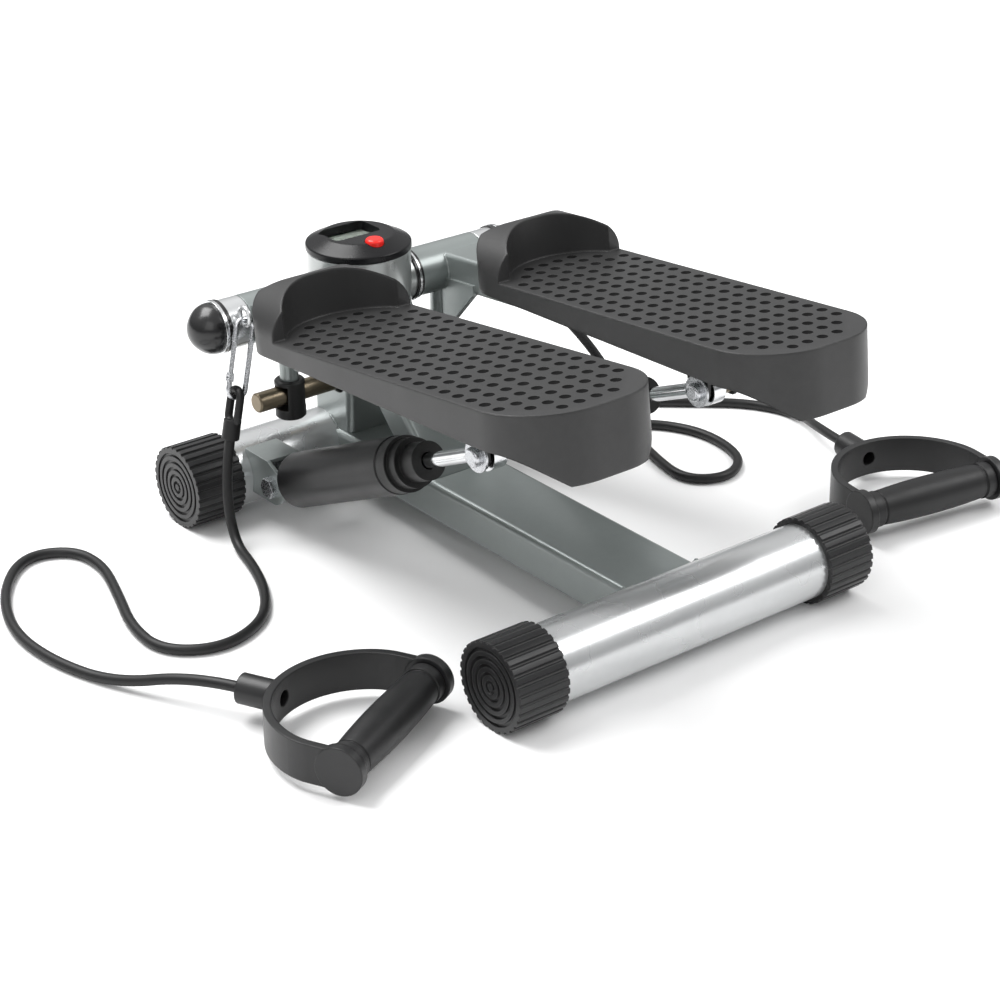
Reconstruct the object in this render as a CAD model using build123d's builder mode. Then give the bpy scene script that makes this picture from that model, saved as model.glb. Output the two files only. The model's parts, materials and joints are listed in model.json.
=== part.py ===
"""Mini stepper: two coupled pedals on one cross axle, hydraulic cylinders, a step counter and two
resistance cords with handles.  Millimetres, +X to the right, +Y towards the toe end, +Z up.
The origin is on the floor, midway between the two base tubes."""
import math
import os

from build123d import *

os.makedirs("parts", exist_ok=True)

# Base frame
tube_radius = 25.0
tube_wall = 2.0
cap_radius = 28.8
tube_z = 28.5
tube_y = 173.0
half_width = 148.0
right_end = 142.0
cap_length = 37.0
cap_face = 6.0
beam_size = (60.0, 28.0)
beam_z = 31.5
post_size = (54.0, 44.0)
post_top = 126.0
brace_size = (50.0, 25.0)
brace_angle = 45.0
brace_foot_y = 60.5

# Cross axle and console
axle_y = 161.0
axle_z = 142.5
axle_radius = 12.5
hub_radius = 17.5
hub_half = 37.2
housing_radius = 36.0
housing_bottom = post_top
housing_top = 172.0
console_radius = 36.8
sleeve_span = (43.0, 98.5)
collar_span = (99.0, 115.0)
dome_start = 120.5
running_gap = 0.05

# Pedals, measured in each arm's own frame: back from the axle, across, and up
arm_x = 89.5
mid_pitch = 6.3
pitch = {"left": 7.1, "right": 5.5}
sign = {"left": -1, "right": 1}
arm_size = (50.0, 25.0)
arm_length = 300.0
pedal_half = 53.5
pedal_top = 16.0
toe_front = 72.0
heel_back = 370.0
near_heel_corner = 48.0
far_heel_corner = 38.0
toe_corner = 27.0
cup_end = 112.0
cup_top = 46.0
shell = 3.5

# Rocker that makes one pedal rise as the other falls
lever_x = 65.0
rocker_y = 156.0
rocker_z = 82.0
rocker_radius = 7.0
rocker_half = 93.0
lever_radius = 6.6
lever_bottom = 90.4
lever_top = 130.0
boot_radius = 10.6

# Hydraulic cylinders
base_pin = (124.0, 33.5)
rod_pin = (258.0, -38.0)
pin_radius = 4.0
barrel_radius = 19.0
barrel_span = (17.0, 144.0)
rod_radius = 5.0
eye_clearance = 2.2

# Cords and handles
cord_radius = 3.5
clip_width = 6.5
clip_length = 53.0
crimp_end = 82.0
ring_x = 108.0
clip_top = {"left": (-107.0, 139.9, 152.05), "right": (105.55, 139.8, 151.3)}
clip_run = {"left": (-0.27, -0.10, -0.957), "right": (0.659, -0.084, -0.747)}
handle_z = 19.0
grip_centre = {"left": (-209.0, -154.0), "right": (255.9, -145.0)}
grip_turn = {"left": 26.6, "right": -9.5}
grip_half = 52.0
disc_radius = 15.2
disc_width = 6.0
bow_half = grip_half + disc_width / 2
socket_reach = 96.0
socket_length = 24.0


def save(piece, name):
    """Label one finished piece and write it under its own name."""
    piece.part.label = name
    export_step(piece.part, f"parts/{name}.step")


def across(x):
    """A sketch plane facing +X at the given x: local x runs along +Y, local y along +Z."""
    return Plane(origin=(x, 0, 0), x_dir=(0, 1, 0), z_dir=(1, 0, 0))


def arm_flat(side, height, tilt=None):
    """Plane parallel to a pedal's tread: local x across to +X, local y towards the toe."""
    angle = math.radians(pitch[side] if tilt is None else tilt)
    flat = Plane(
        origin=(sign[side] * arm_x, axle_y, axle_z),
        x_dir=(1, 0, 0),
        z_dir=(0, math.sin(angle), math.cos(angle)),
    )
    return flat.offset(height)


def arm_side(side, x, tilt=None):
    """Plane facing -X at x: local x runs back along the arm, local y up from it."""
    angle = math.radians(pitch[side] if tilt is None else tilt)
    return Plane(
        origin=(x, axle_y, axle_z),
        x_dir=(0, -math.cos(angle), math.sin(angle)),
        z_dir=(-1, 0, 0),
    )


def arm_front(side, back):
    """Plane square to the arm, facing the heel: local x to +X, local y up."""
    angle = math.radians(pitch[side])
    heelward = Vector(0, -math.cos(angle), math.sin(angle))
    centre = Vector(sign[side] * arm_x, axle_y, axle_z)
    return Plane(origin=centre + heelward * back, x_dir=(1, 0, 0), z_dir=heelward)


def rod_end(side):
    """Where the rod's pin stands, as (y, z), for one side's pitch."""
    angle = math.radians(pitch[side])
    back, up = rod_pin
    y = axle_y - back * math.cos(angle) + up * math.sin(angle)
    z = axle_z + back * math.sin(angle) + up * math.cos(angle)
    return y, z


def cylinder_plane(side, along):
    """Plane square to a cylinder's axis, a distance up it from the base pin."""
    y, z = rod_end(side)
    axis = Vector(0, y - base_pin[0], z - base_pin[1]).normalized()
    base = Vector(sign[side] * arm_x, *base_pin)
    return Plane(origin=base + axis * along, x_dir=(1, 0, 0), z_dir=axis)


def cylinder_length(side):
    y, z = rod_end(side)
    return math.hypot(y - base_pin[0], z - base_pin[1])


def swing(side, y, z):
    """Where a point given at the middle pitch stands at this side's own pitch."""
    turn = math.radians(pitch[side] - mid_pitch)
    dy = y - axle_y
    dz = z - axle_z
    new_y = axle_y + dy * math.cos(turn) + dz * math.sin(turn)
    new_z = axle_z - dy * math.sin(turn) + dz * math.cos(turn)
    return new_y, new_z


def lever_plane(side, z):
    """Plane square to a lever at mid-pitch height z, its local x along the rocker bar."""
    turn = math.radians(pitch[side] - mid_pitch)
    up = Vector(0, math.sin(turn), math.cos(turn))
    bar = Vector(math.cos(rocker_yaw), math.sin(rocker_yaw), 0)
    origin = Vector(sign[side] * lever_x, *swing(side, rocker_y, z))
    return Plane(origin=origin, x_dir=bar - up * bar.dot(up), z_dir=up)


lever_shift = swing("right", rocker_y, rocker_z)[0] - swing("left", rocker_y, rocker_z)[0]
rocker_yaw = math.atan2(lever_shift, 2 * lever_x)

# ---------------------------------------------------------------- base frame

for name, y in (("rear_tube", -tube_y), ("front_tube", tube_y)):
    with BuildPart() as tube:
        with BuildSketch(across(cap_face - half_width)):
            with Locations((y, tube_z)):
                Circle(tube_radius)
                Circle(tube_radius - tube_wall, mode=Mode.SUBTRACT)
        extrude(amount=half_width + right_end - 2 * cap_face)
    save(tube, name)

rib_count = 30
rib_depth = 1.3
for name, y in (("rear_tube_caps", -tube_y), ("front_tube_caps", tube_y)):
    with BuildPart() as caps:
        for end, reach in ((-1, half_width), (1, right_end)):
            face = Plane(origin=(end * reach, y, tube_z), x_dir=(0, -end, 0), z_dir=(end, 0, 0))
            with BuildSketch(face):
                Circle(cap_radius)
                with PolarLocations(cap_radius, rib_count, start_angle=90 + 180 / rib_count):
                    Circle(rib_depth, mode=Mode.SUBTRACT)
            extrude(amount=-cap_length)
            with BuildSketch(face.offset(-cap_face)):
                Circle(tube_radius)
            extrude(amount=cap_face - cap_length, mode=Mode.SUBTRACT)
            with BuildSketch(face.offset(-1.5)):
                for outer in (24.5, 19.5, 14.5, 9.5, 4.5):
                    Circle(outer)
                    Circle(outer - 2.2, mode=Mode.SUBTRACT)
            extrude(amount=1.5, mode=Mode.SUBTRACT)
        with Locations((0, y, -1)):
            Box(3 * half_width, 3 * cap_radius, 2, mode=Mode.SUBTRACT)
    save(caps, name)

with BuildPart() as main_beam:
    with BuildSketch(Plane.XZ.offset(-tube_y)):
        with Locations((0, beam_z)):
            RectangleRounded(*beam_size, 4)
            RectangleRounded(beam_size[0] - 2 * tube_wall, beam_size[1] - 2 * tube_wall, 2, mode=Mode.SUBTRACT)
    extrude(amount=2 * tube_y)
    for y in (-tube_y, tube_y):
        with Locations((0, y, tube_z)):
            Cylinder(tube_radius, 2 * beam_size[0], rotation=(0, 90, 0), mode=Mode.SUBTRACT)
save(main_beam, "main_beam")

window_size = (24.0, 17.5)
with BuildPart() as front_post:
    with BuildSketch(Plane.XY.offset(tube_z)):
        with Locations((0, axle_y)):
            RectangleRounded(*post_size, 5)
            RectangleRounded(post_size[0] - 5, post_size[1] - 5, 3, mode=Mode.SUBTRACT)
    extrude(amount=post_top - tube_z)
    with Locations((0, tube_y, tube_z)):
        Cylinder(tube_radius, 2 * post_size[0], rotation=(0, 90, 0), mode=Mode.SUBTRACT)
    with Locations((0, 0, beam_z)):
        Box(2 * post_size[0], 2 * tube_y, beam_size[1], mode=Mode.SUBTRACT)
    with BuildSketch(across(-post_size[0])):
        with Locations((rocker_y, rocker_z)):
            SlotOverall(*window_size)
    extrude(amount=2 * post_size[0], mode=Mode.SUBTRACT)
    with Locations((0, axle_y, axle_z)):
        Cylinder(hub_radius, 2 * post_size[0], rotation=(0, 90, 0), mode=Mode.SUBTRACT)
save(front_post, "front_post")

brace_run = Vector(0, math.cos(math.radians(brace_angle)), math.sin(math.radians(brace_angle)))
beam_top = beam_z + beam_size[1] / 2
brace_plane = Plane(origin=(0, brace_foot_y, beam_top), x_dir=(1, 0, 0), z_dir=brace_run)
with BuildPart() as brace:
    with BuildSketch(brace_plane.offset(-30)):
        RectangleRounded(*brace_size, 4)
        RectangleRounded(brace_size[0] - 2 * tube_wall, brace_size[1] - 2 * tube_wall, 2, mode=Mode.SUBTRACT)
    extrude(amount=200)
    with Locations((0, 0, beam_top - 50)):
        Box(200, 400, 100, mode=Mode.SUBTRACT)
    with Locations((0, axle_y - post_size[1] / 2 + 100, 100)):
        Box(200, 200, 400, mode=Mode.SUBTRACT)
    with Locations((0, axle_y, housing_bottom)):
        Cylinder(housing_radius, 100, align=(Align.CENTER, Align.CENTER, Align.MIN), mode=Mode.SUBTRACT)
save(brace, "brace")

# -------------------------------------------------------- rocker pivot column

column_radius = 9.0
bar_underside = rocker_z - rocker_radius - 0.3
with BuildPart() as rocker_pivot:
    with BuildSketch(Plane.XY.offset(tube_z)):
        with Locations((0, rocker_y)):
            Circle(column_radius)
    extrude(amount=bar_underside - tube_z)
    with BuildSketch(Plane.XY.offset(bar_underside)):
        with Locations((0, rocker_y)):
            Circle(3.0)
    extrude(amount=26)
    with Locations((0, tube_y, tube_z)):
        Cylinder(tube_radius, 100, rotation=(0, 90, 0), mode=Mode.SUBTRACT)
    with Locations((0, 0, beam_z)):
        Box(2 * post_size[0], 2 * tube_y, beam_size[1], mode=Mode.SUBTRACT)
save(rocker_pivot, "rocker_pivot")

with BuildPart() as rocker_nut:
    with BuildSketch(Plane.XY.offset(rocker_z + rocker_radius + 0.3)):
        with Locations((0, rocker_y)):
            RegularPolygon(6.5, 6)
            Circle(3.0, mode=Mode.SUBTRACT)
    extrude(amount=6)
save(rocker_nut, "rocker_nut")

with BuildPart() as rocker_bar:
    bar_run = Vector(math.cos(rocker_yaw), math.sin(rocker_yaw), 0)
    with BuildSketch(Plane(origin=Vector(0, rocker_y, rocker_z) - bar_run * rocker_half, z_dir=bar_run)):
        Circle(rocker_radius)
    extrude(amount=2 * rocker_half)
    chamfer(rocker_bar.edges().filter_by(GeomType.CIRCLE), 1.0)
    with Locations((0, rocker_y, rocker_z)):
        Cylinder(3.0 + running_gap, 4 * rocker_radius, mode=Mode.SUBTRACT)
save(rocker_bar, "rocker_bar")

# ------------------------------------------------------ console and its hub

with BuildPart() as housing:
    with BuildSketch(Plane.XY.offset(housing_bottom)):
        with Locations((0, axle_y)):
            Circle(housing_radius)
            Circle(housing_radius - 3, mode=Mode.SUBTRACT)
    extrude(amount=housing_top - housing_bottom)
    with BuildSketch(across(-hub_half)):
        with Locations((axle_y, axle_z)):
            Circle(hub_radius)
    extrude(amount=2 * hub_half)
    with BuildSketch(Plane.XY.offset(163)):
        with Locations((0, axle_y)):
            Circle(housing_radius - 3)
    extrude(amount=2)
    with BuildSketch(across(-hub_half)):
        with Locations((axle_y, axle_z)):
            Circle(axle_radius)
    extrude(amount=2 * hub_half, mode=Mode.SUBTRACT)
save(housing, "console_housing")

axle_half = 128.0
with BuildPart() as axle:
    with BuildSketch(across(-axle_half)):
        with Locations((axle_y, axle_z)):
            Circle(axle_radius)
    extrude(amount=2 * axle_half)
save(axle, "axle")

window_centre = (-3.0, 6.5)
window_size = (38.0, 25.0)
button_spot = (-2.0, -22.0)
lid_edge = housing_top + 5
lid_top = housing_top + 11
lid_ceiling = housing_top + 5
lens_bottom = lid_ceiling - 0.9
with BuildPart() as cover:
    with BuildSketch(Plane.XY.offset(housing_top)):
        with Locations((0, axle_y)):
            Circle(console_radius)
    extrude(amount=lid_edge - housing_top)
    with BuildSketch(Plane.XY.offset(lid_edge)):
        with Locations((0, axle_y)):
            Circle(console_radius)
    extrude(amount=lid_top - lid_edge, taper=64)
    rims = cover.edges().filter_by(GeomType.CIRCLE).group_by(Axis.Z)
    fillet(rims[0] + rims[1], 1.5)
    fillet(cover.edges().filter_by(GeomType.CIRCLE).group_by(Axis.Z)[-1], 4)
    with BuildSketch(Plane.XY.offset(housing_top)):
        with Locations((0, axle_y)):
            Circle(console_radius - 4)
    extrude(amount=lid_ceiling - housing_top, mode=Mode.SUBTRACT)
    with BuildSketch(Plane.XY.offset(housing_top)):
        with Locations((window_centre[0], axle_y + window_centre[1])):
            RectangleRounded(*window_size, 4)
        with Locations((button_spot[0], axle_y + button_spot[1])):
            Circle(6.8)
    extrude(amount=20, mode=Mode.SUBTRACT)
save(cover, "console_cover")

with BuildPart() as panel:
    with BuildSketch(Plane.XY.offset(housing_top)):
        with Locations((window_centre[0], axle_y + window_centre[1])):
            Rectangle(38, 25)
    extrude(amount=lens_bottom - housing_top)
save(panel, "display_panel")

with BuildPart() as lens:
    with BuildSketch(Plane.XY.offset(lens_bottom)):
        with Locations((window_centre[0], axle_y + window_centre[1])):
            RectangleRounded(window_size[0] + 2, window_size[1] + 2, 5)
    extrude(amount=lid_ceiling - lens_bottom)
save(lens, "display_lens")

with BuildPart() as board:
    with BuildSketch(Plane.XY.offset(housing_top - 1.6)):
        with Locations((0, axle_y)):
            Circle(housing_radius - 4)
    extrude(amount=1.6)
save(board, "circuit_board")

with BuildPart() as cell:
    with BuildSketch(Plane.XY.offset(165)):
        with Locations((4, axle_y + 4)):
            Circle(10)
    extrude(amount=3.2)
save(cell, "button_cell")

flange_z = housing_top + 1.6
with BuildPart() as button:
    with BuildSketch(Plane.XY.offset(flange_z)):
        with Locations((button_spot[0], axle_y + button_spot[1])):
            Circle(8.2)
    extrude(amount=1.8)
    with BuildSketch(Plane.XY.offset(flange_z + 1.8)):
        with Locations((button_spot[0], axle_y + button_spot[1])):
            Circle(6.4)
    extrude(amount=lid_top + 2.4 - flange_z - 1.8)
    fillet(button.faces().sort_by(Axis.Z)[-1].edges(), 2.4)
save(button, "reset_button")

for name, radius, spans in (
    ("spacer_rings", 18.6, ((hub_half, 39.0), (40.6, 42.6), (collar_span[1], 118.0))),
    ("trim_rings", 19.0, ((39.0, 40.6), (118.0, dome_start))),
):
    with BuildPart() as rings:
        for direction in (-1, 1):
            for start, stop in spans:
                with BuildSketch(across(direction * start)):
                    with Locations((axle_y, axle_z)):
                        Circle(radius)
                        Circle(axle_radius, mode=Mode.SUBTRACT)
                extrude(amount=direction * (stop - start))
    save(rings, name)

with BuildPart() as axle_caps:
    for direction in (-1, 1):
        dome = Plane(
            origin=(direction * dome_start, axle_y, axle_z),
            x_dir=(direction, 0, 0),
            z_dir=(0, -direction, 0),
        )
        with BuildSketch(dome):
            with BuildLine():
                Line((0, axle_radius), (0, hub_radius))
                Spline(
                    (0, hub_radius),
                    (11.5, 12.5),
                    (17.0, 0),
                    tangents=((1, 0), (0, -1)),
                )
                Polyline((17.0, 0), (7.5, 0), (7.5, axle_radius), (0, axle_radius))
            make_face()
        revolve(axis=Axis((0, axle_y, axle_z), (1, 0, 0)))
save(axle_caps, "axle_caps")

ring_radius = 6.0
wire_radius = 1.6
for side in ("left", "right"):
    outward = sign[side]
    centre = Vector(outward * ring_x, 139.5, 154.5)
    with BuildPart() as collar:
        with BuildSketch(across(outward * collar_span[0])):
            with Locations((axle_y, axle_z)):
                Circle(hub_radius)
                Circle(axle_radius, mode=Mode.SUBTRACT)
        extrude(amount=outward * (collar_span[1] - collar_span[0]))
        with BuildLine(Plane(origin=centre, x_dir=(0, 1, 0), z_dir=(1, 0, 0))):
            CenterArc((0, 0), ring_radius, 0, 360)
        with BuildSketch(Plane(origin=centre + Vector(0, ring_radius, 0), x_dir=(1, 0, 0), z_dir=(0, 0, 1))):
            Circle(wire_radius)
        sweep()
        with BuildSketch(Plane(origin=centre + Vector(0, ring_radius, 0), x_dir=(1, 0, 0), z_dir=(0, 1, -0.5))):
            Circle(2.2)
        extrude(amount=6)
    save(collar, f"{side}_anchor_collar")

# ------------------------------------------------------------- pedal arms

bush_length = 18.0
screw_backs = (150.0, 235.0)

for side in ("left", "right"):
    outward = sign[side]
    with BuildPart() as arm:
        with BuildSketch(arm_front(side, 0)):
            RectangleRounded(*arm_size, 3)
            RectangleRounded(arm_size[0] - 2 * tube_wall, arm_size[1] - 2 * tube_wall, 1.5, mode=Mode.SUBTRACT)
        extrude(amount=arm_length)
        with BuildSketch(arm_flat(side, -30)):
            with BuildLine():
                Polyline(
                    (outward * 7, 30),
                    (outward * 7, -28),
                    (outward * 26, -62),
                    (outward * 60, -62),
                    (outward * 60, 30),
                    close=True,
                )
            make_face()
        extrude(amount=60, mode=Mode.SUBTRACT)
        with BuildSketch(arm_side(side, outward * (arm_x - 27.0))):
            with BuildLine():
                Polyline((9, -5), (9, -42), (14, -42), (47, -12), (47, -5), close=True)
            make_face()
        extrude(amount=-outward * 4)
        with BuildSketch(lever_plane(side, lever_bottom)):
            Circle(lever_radius)
        extrude(amount=lever_top - lever_bottom)
        with BuildSketch(across(outward * sleeve_span[0])):
            with Locations((axle_y, axle_z)):
                Circle(hub_radius)
        extrude(amount=outward * (sleeve_span[1] - sleeve_span[0]))
        with BuildSketch(across(outward * sleeve_span[0])):
            with Locations((axle_y, axle_z)):
                Circle(hub_radius - tube_wall)
        extrude(amount=outward * (sleeve_span[1] - sleeve_span[0]), mode=Mode.SUBTRACT)
        with BuildSketch(arm_flat(side, arm_size[1] / 2)):
            with Locations(*[(0, -back) for back in screw_backs]):
                Circle(2.0)
        extrude(amount=-tube_wall, mode=Mode.SUBTRACT)
        with BuildSketch(arm_flat(side, -arm_size[1] / 2)):
            with Locations(*[(0, -back) for back in screw_backs]):
                Circle(4.8)
        extrude(amount=tube_wall, mode=Mode.SUBTRACT)
    save(arm, f"{side}_pedal_arm")

    with BuildPart() as bushes:
        for start in (sleeve_span[0], sleeve_span[1] - bush_length):
            with BuildSketch(across(outward * start)):
                with Locations((axle_y, axle_z)):
                    Circle(hub_radius - tube_wall)
                    Circle(axle_radius + running_gap, mode=Mode.SUBTRACT)
            extrude(amount=outward * bush_length)
    save(bushes, f"{side}_arm_bushes")

    with BuildPart() as screws:
        for back in screw_backs:
            with BuildSketch(arm_flat(side, arm_size[1] / 2 - tube_wall)):
                with Locations((0, -back)):
                    Circle(2.0)
            extrude(amount=tube_wall + 2.4)
            with BuildSketch(arm_flat(side, arm_size[1] / 2 - tube_wall)):
                with Locations((0, -back)):
                    Circle(4.0)
            extrude(amount=-2.8)
    save(screws, f"{side}_pedal_screws")

# ----------------------------------------------------------------- pedals

pedal_length = heel_back - toe_front
pedal_middle = (heel_back + toe_front) / 2
arch_width = 45.0
arch_height = 29.0
nose_depth = 14.0
nose_height = 13.0
skirt_start = [(50, 6), (95, 5), (136, 3), (300, -6.5), (328, -8)]
skirt_end = [(366, -28), (400, -28)]


def pedal_outline(inset=0.0):
    """The pedal's plan, with tighter corners at the toe than at the heel."""
    half = pedal_half - inset
    toe = -toe_front - inset
    heel = inset - heel_back
    corners = (
        (half, toe, toe_corner - inset, 0),
        (-half, toe, toe_corner - inset, 90),
        (-half, heel, near_heel_corner - inset, 180),
        (half, heel, far_heel_corner - inset, 270),
    )
    edges = []
    for x, y, radius, start in corners:
        centre = (x - math.copysign(radius, x), y - math.copysign(radius, y + pedal_middle))
        edges.append(CenterArc(centre, radius, start, 90, mode=Mode.PRIVATE))
    for arc, following in zip(edges[:4], edges[1:4] + edges[:1]):
        edges.append(Line(arc @ 1, following @ 0, mode=Mode.PRIVATE))
    return make_face(edges, mode=Mode.PRIVATE)


outer_plan = pedal_outline()
inner_plan = pedal_outline(shell)


for side in ("left", "right"):
    tread = arm_flat(side, pedal_top)
    with BuildPart() as cup:
        extrude(tread * outer_plan, amount=cup_top)
        with BuildSketch(tread):
            with Locations((0, -cup_end - 150)):
                Rectangle(300, 300)
        extrude(amount=cup_top, mode=Mode.SUBTRACT)
        with BuildSketch(tread):
            with BuildLine():
                ThreePointArc((-44, -cup_end), (0, -87.5), (44, -cup_end))
                Line((44, -cup_end), (-44, -cup_end))
            make_face()
        extrude(amount=cup_top, mode=Mode.SUBTRACT)
        with BuildSketch(arm_front(side, 50)):
            with BuildLine():
                bend_x = pedal_half - arch_width
                bend_z = cup_top - arch_height
                EllipticalCenterArc((bend_x, bend_z), arch_width, arch_height, start_angle=0, arc_size=90)
                Line((bend_x, cup_top), (-bend_x, cup_top))
                EllipticalCenterArc((-bend_x, bend_z), arch_width, arch_height, start_angle=90, arc_size=90)
                Polyline((-pedal_half, bend_z), (-pedal_half, 0), (pedal_half, 0), (pedal_half, bend_z))
            make_face()
        extrude(amount=80, mode=Mode.INTERSECT)
        with BuildSketch(arm_side(side, 200)):
            with BuildLine():
                bend_u = toe_front + nose_depth
                bend_w = cup_top - nose_height
                EllipticalCenterArc((bend_u, bend_w), nose_depth, nose_height, start_angle=90, arc_size=90)
                Polyline((toe_front, bend_w), (toe_front, 0), (130, 0), (130, cup_top), (bend_u, cup_top))
            make_face()
        extrude(amount=400, mode=Mode.INTERSECT)

    with BuildPart() as pedal:
        extrude(tread * outer_plan, amount=-46)
        with BuildSketch(arm_side(side, 200)):
            with BuildLine():
                Polyline(*skirt_start)
                ThreePointArc(skirt_start[-1], (352, -14), skirt_end[0])
                Polyline(*skirt_end, (400, -60), (50, -60), skirt_start[0])
            make_face()
        extrude(amount=400, mode=Mode.SUBTRACT)
        extrude(arm_flat(side, pedal_top - shell) * inner_plan, amount=-60, mode=Mode.SUBTRACT)
        add(cup.part)
        with BuildSketch(arm_flat(side, -arm_size[1] / 2)):
            with Locations((0, -85)):
                Rectangle(arm_size[0] + 0.6, 60)
        extrude(amount=arm_size[1], mode=Mode.SUBTRACT)
        with BuildSketch(arm_flat(side, arm_size[1] / 2)):
            with Locations(*[(0, -back) for back in screw_backs]):
                Circle(2.0)
        extrude(amount=2.4, mode=Mode.SUBTRACT)
    save(pedal, f"{side}_pedal")

# ------------------------------------------------------ hydraulic cylinders

ear_inner = 10.2
ear_outer = 13.0
web_bottom = 47.5
web_top = 50.5

for side in ("left", "right"):
    centre_x = sign[side] * arm_x
    with BuildPart() as bracket:
        with BuildSketch(across(centre_x - ear_outer)):
            with Locations(base_pin):
                Circle(13)
            with BuildLine():
                Polyline(
                    (base_pin[0] - 4, base_pin[1] + 12.3),
                    (130, web_top),
                    (157, web_top),
                    (157, 20.5),
                    (base_pin[0], 20.5),
                    close=True,
                )
            make_face()
        extrude(amount=2 * ear_outer)
        with BuildSketch(across(centre_x - ear_inner)):
            with BuildLine():
                Polyline((90, 0), (90, 90), (130, 90), (130, web_bottom), (170, web_bottom), (170, 0), close=True)
            make_face()
        extrude(amount=2 * ear_inner, mode=Mode.SUBTRACT)
        with BuildSketch(across(centre_x - ear_outer)):
            with Locations((tube_y, tube_z)):
                Circle(tube_radius)
            with Locations(base_pin):
                Circle(pin_radius)
        extrude(amount=2 * ear_outer, mode=Mode.SUBTRACT)
    save(bracket, f"{side}_cylinder_bracket")

with BuildPart() as bolts:
    for side in ("left", "right"):
        centre_x = sign[side] * arm_x
        for start, length, shape, radius in (
            (-ear_outer, 2 * ear_outer, "round", pin_radius),
            (-ear_outer - 5, 5, "hex", 7.4),
            (ear_outer, 1.4, "round", 8.5),
            (ear_outer + 1.4, 6.5, "hex", 7.4),
            (ear_outer + 7.9, 2.0, "round", pin_radius),
        ):
            with BuildSketch(across(centre_x + start)):
                with Locations(base_pin):
                    if shape == "hex":
                        RegularPolygon(radius, 6)
                    else:
                        Circle(radius)
            extrude(amount=length)
save(bolts, "cylinder_bolts")

boot_steps = [(0, 18.4), (10, 16.2), (19, 12.6)]
boot_end = 34.0
piston_at = 80.0
for side in ("left", "right"):
    length = cylinder_length(side)
    start, stop = barrel_span
    centre_x = sign[side] * arm_x
    with BuildPart() as barrel:
        with BuildSketch(cylinder_plane(side, start)):
            Circle(barrel_radius)
        extrude(amount=stop - start)
        chamfer(barrel.edges().filter_by(GeomType.CIRCLE), 1.2)
        with BuildSketch(across(centre_x - 8)):
            with Locations(base_pin):
                Circle(11)
        extrude(amount=16)
        with BuildSketch(cylinder_plane(side, 0)):
            Rectangle(16, 22)
        extrude(amount=start)
        with BuildSketch(across(centre_x - 8)):
            with Locations(base_pin):
                Circle(pin_radius + running_gap)
        extrude(amount=16, mode=Mode.SUBTRACT)
        with BuildSketch(cylinder_plane(side, 22)):
            Circle(15.5)
        extrude(amount=116, mode=Mode.SUBTRACT)
        with BuildSketch(cylinder_plane(side, 138)):
            Circle(rod_radius + running_gap)
        extrude(amount=6, mode=Mode.SUBTRACT)
    save(barrel, f"{side}_cylinder_barrel")

    with BuildPart() as boot:
        for index, (along, radius) in enumerate(boot_steps):
            step_end = boot_steps[index + 1][0] if index + 1 < len(boot_steps) else boot_end
            with BuildSketch(cylinder_plane(side, stop + along)):
                Circle(radius)
            extrude(amount=step_end - along)
        with BuildSketch(cylinder_plane(side, stop)):
            Circle(rod_radius + 0.6)
        extrude(amount=boot_end, mode=Mode.SUBTRACT)
    save(boot, f"{side}_dust_boot")

    with BuildPart() as rod:
        with BuildSketch(cylinder_plane(side, piston_at)):
            Circle(rod_radius)
        extrude(amount=length - piston_at - 6)
        with BuildSketch(cylinder_plane(side, piston_at - 6)):
            Circle(15.45)
        extrude(amount=12)
        with BuildSketch(across(centre_x - 5)):
            with Locations(rod_end(side)):
                Circle(11)
        extrude(amount=10)
        with BuildSketch(across(centre_x - 5)):
            with Locations(rod_end(side)):
                Circle(pin_radius + eye_clearance)
        extrude(amount=10, mode=Mode.SUBTRACT)
    save(rod, f"{side}_piston_rod")

    under = -arm_size[1] / 2
    with BuildPart() as rod_bracket:
        with BuildSketch(arm_side(side, centre_x + 19)):
            with BuildLine():
                Polyline((247, under), (269, under), (267, -40), (263, -46), (253, -46), (249, -40), close=True)
            make_face()
        extrude(amount=28.5)
        with BuildSketch(arm_side(side, centre_x + 16)):
            with Locations((258, -60)):
                Rectangle(100, 2 * (60 + under - 3))
        extrude(amount=22.5, mode=Mode.SUBTRACT)
        with BuildSketch(across(centre_x - 12)):
            with Locations(rod_end(side)):
                Circle(pin_radius)
        extrude(amount=10, mode=Mode.SUBTRACT)
        with BuildSketch(across(centre_x + 14)):
            with Locations(rod_end(side)):
                Circle(7)
        extrude(amount=8, mode=Mode.SUBTRACT)
    save(rod_bracket, f"{side}_rod_bracket")

    with BuildPart() as rod_bolt:
        with BuildSketch(across(centre_x - 11)):
            with Locations(rod_end(side)):
                Circle(pin_radius)
        extrude(amount=41)
        with BuildSketch(across(centre_x - 11)):
            with Locations(rod_end(side)):
                Circle(10.5)
        extrude(amount=1.5)
        with BuildSketch(across(centre_x - 15.5)):
            with Locations(rod_end(side)):
                Circle(6.4)
        extrude(amount=4.5)
        fillet(rod_bolt.faces().sort_by(Axis.X)[0].edges(), 2.5)
    save(rod_bolt, f"{side}_rod_bolt")

    with BuildPart() as spacer:
        with BuildSketch(across(centre_x + 6.5)):
            with Locations(rod_end(side)):
                Circle(7)
                Circle(pin_radius, mode=Mode.SUBTRACT)
        extrude(amount=23.5)
        chamfer(spacer.faces().sort_by(Axis.X)[-1].edges(), 0.8)
    save(spacer, f"{side}_rod_spacer")

    with BuildPart() as block:
        with BuildSketch(lever_plane(side, 65.3)):
            Circle(boot_radius)
        extrude(amount=27.7)
        chamfer(block.edges().filter_by(GeomType.CIRCLE), 1.2)
        with BuildSketch(lever_plane(side, lever_bottom)):
            Circle(lever_radius + running_gap)
        extrude(amount=5, mode=Mode.SUBTRACT)
        with BuildSketch(lever_plane(side, 72.7)):
            Rectangle(40, 15.4)
        extrude(amount=16.9, mode=Mode.SUBTRACT)
    save(block, f"{side}_link_block")

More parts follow.
